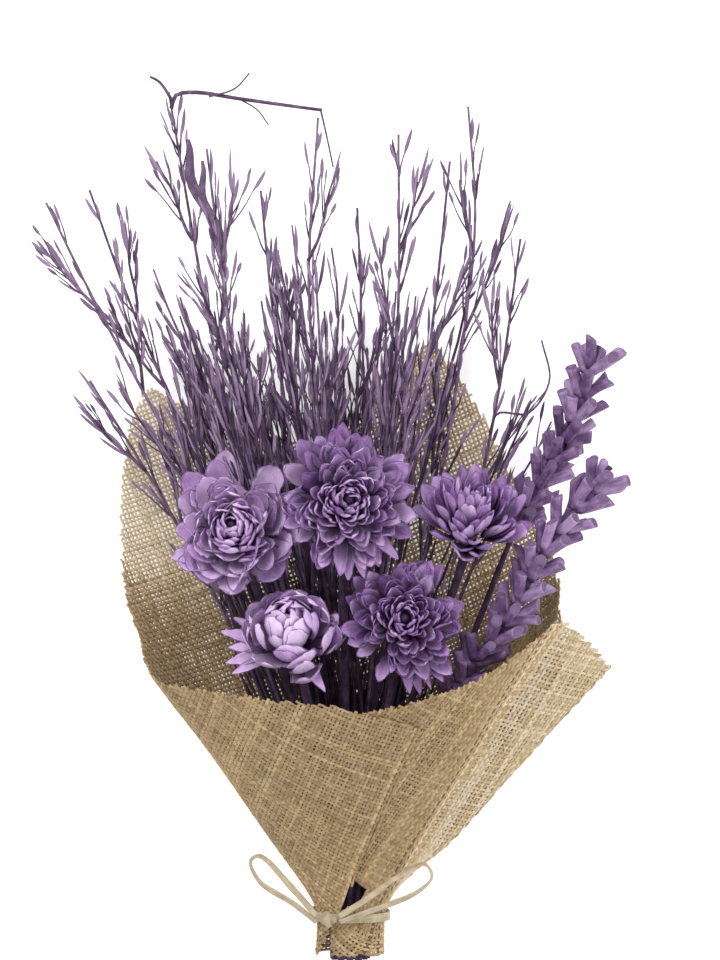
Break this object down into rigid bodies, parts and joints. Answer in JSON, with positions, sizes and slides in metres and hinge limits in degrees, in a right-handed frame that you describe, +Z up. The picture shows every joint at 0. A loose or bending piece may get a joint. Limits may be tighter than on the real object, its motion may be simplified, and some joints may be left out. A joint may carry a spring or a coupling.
{
  "type": "dried flower bouquet in hessian wrap",
  "caption": "Dried bouquet of purple shaved-wood flowers, cut-reed spikes and broom twigs in a cone of open-weave hessian tied with a raffia bow, lying on its back.",
  "frame": {"origin": "middle of the flat patch of hessian that the bouquet rests on", "axes": "+Y from the cut stems to the twig tips, +Z up from the table, +X to the right of someone looking down at the flowers"},
  "size_m": [0.3104, 0.4701, 0.1135],
  "materials": {
    "hessian": "open plain weave of jute, fuzzy and matt",
    "petal_light": "thin dyed wood shaving, matt with fine grain",
    "petal_dark": "thin dyed wood shaving, matt with fine grain",
    "reed": "dyed cut reed, satin bark with matt ends",
    "twig": "dyed dry twig, matt",
    "stem": "dark dyed stem, matt",
    "raffia": "flat raffia ribbon, soft satin"
  },
  "bodies": {
    "root": {"flower_left_heart": "petal_dark", "flower_left_inner_petals": "petal_light", "flower_left_middle_petals": "petal_light", "flower_left_outer_petals": "petal_dark", "flower_left_stem": "stem", "flower_lower_left_heart": "petal_dark", "flower_lower_left_inner_petals": "petal_light", "flower_lower_left_middle_petals": "petal_light", "flower_lower_left_outer_petals": "petal_dark", "flower_lower_left_stem": "stem", "flower_lower_middle_heart": "petal_dark", "flower_lower_middle_inner_petals": "petal_light", "flower_lower_middle_middle_petals": "petal_light", "flower_lower_middle_outer_petals": "petal_dark", "flower_lower_middle_stem": "stem", "flower_middle_heart": "petal_dark", "flower_middle_inner_petals": "petal_light", "flower_middle_middle_petals": "petal_light", "flower_middle_outer_petals": "petal_dark", "flower_middle_stem": "stem", "flower_right_heart": "petal_dark", "flower_right_inner_petals": "petal_light", "flower_right_middle_petals": "petal_light", "flower_right_outer_petals": "petal_dark", "flower_right_stem": "stem", "hessian_wrap": "hessian", "raffia_band": "raffia", "raffia_knot": "raffia", "raffia_loop_left": "raffia", "raffia_loop_right": "raffia", "reed_spike_front_lower_reeds": "reed", "reed_spike_front_middle_reeds": "reed", "reed_spike_front_stem": "stem", "reed_spike_front_upper_reeds": "reed", "reed_spike_rear_lower_reeds": "reed", "reed_spike_rear_middle_reeds": "reed", "reed_spike_rear_stem": "stem", "reed_spike_rear_upper_reeds": "reed", "twig_01": "twig", "twig_02": "twig", "twig_03": "twig", "twig_04": "twig", "twig_05": "twig", "twig_06": "twig", "twig_07": "twig", "twig_08": "twig", "twig_09": "twig", "twig_10": "twig", "twig_11": "twig", "twig_12": "twig"}
  },
  "joints": []
}
